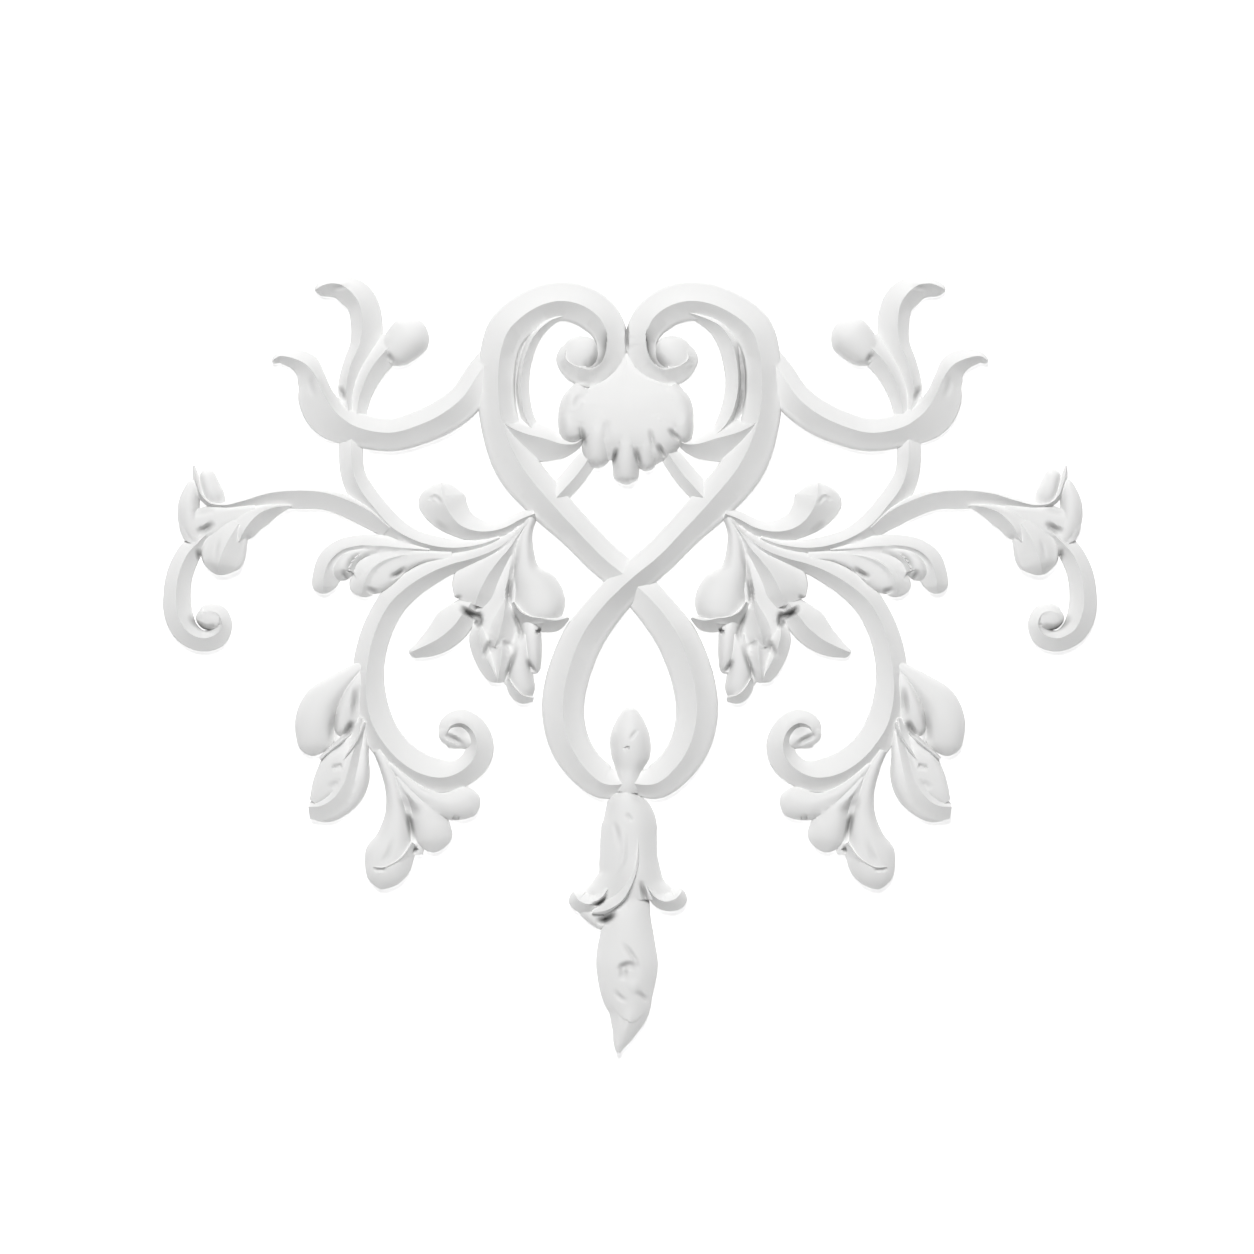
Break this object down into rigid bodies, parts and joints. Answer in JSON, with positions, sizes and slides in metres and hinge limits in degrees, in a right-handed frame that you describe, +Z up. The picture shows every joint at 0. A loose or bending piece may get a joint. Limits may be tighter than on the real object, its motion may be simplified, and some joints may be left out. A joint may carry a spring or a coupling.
{
  "type": "floral wall applique",
  "caption": "Openwork relief applique: crossed heart ribbons, leaf scrolls, a shell and a bell flower with a pendant bud, flat back, fixed to a wall, door or mantel.",
  "frame": {"origin": "on the flat back, under the place where the two heart ribbons cross", "axes": "+Y out of the back into the wall, the relief towards -Y, +Z up, +X to the right of somebody who looks at the relief"},
  "size_m": [0.5996, 0.0206, 0.499],
  "materials": {
    "primed_white": "matt white primer over a casting"
  },
  "bodies": {
    "root": {"applique": "primed_white"}
  },
  "joints": []
}
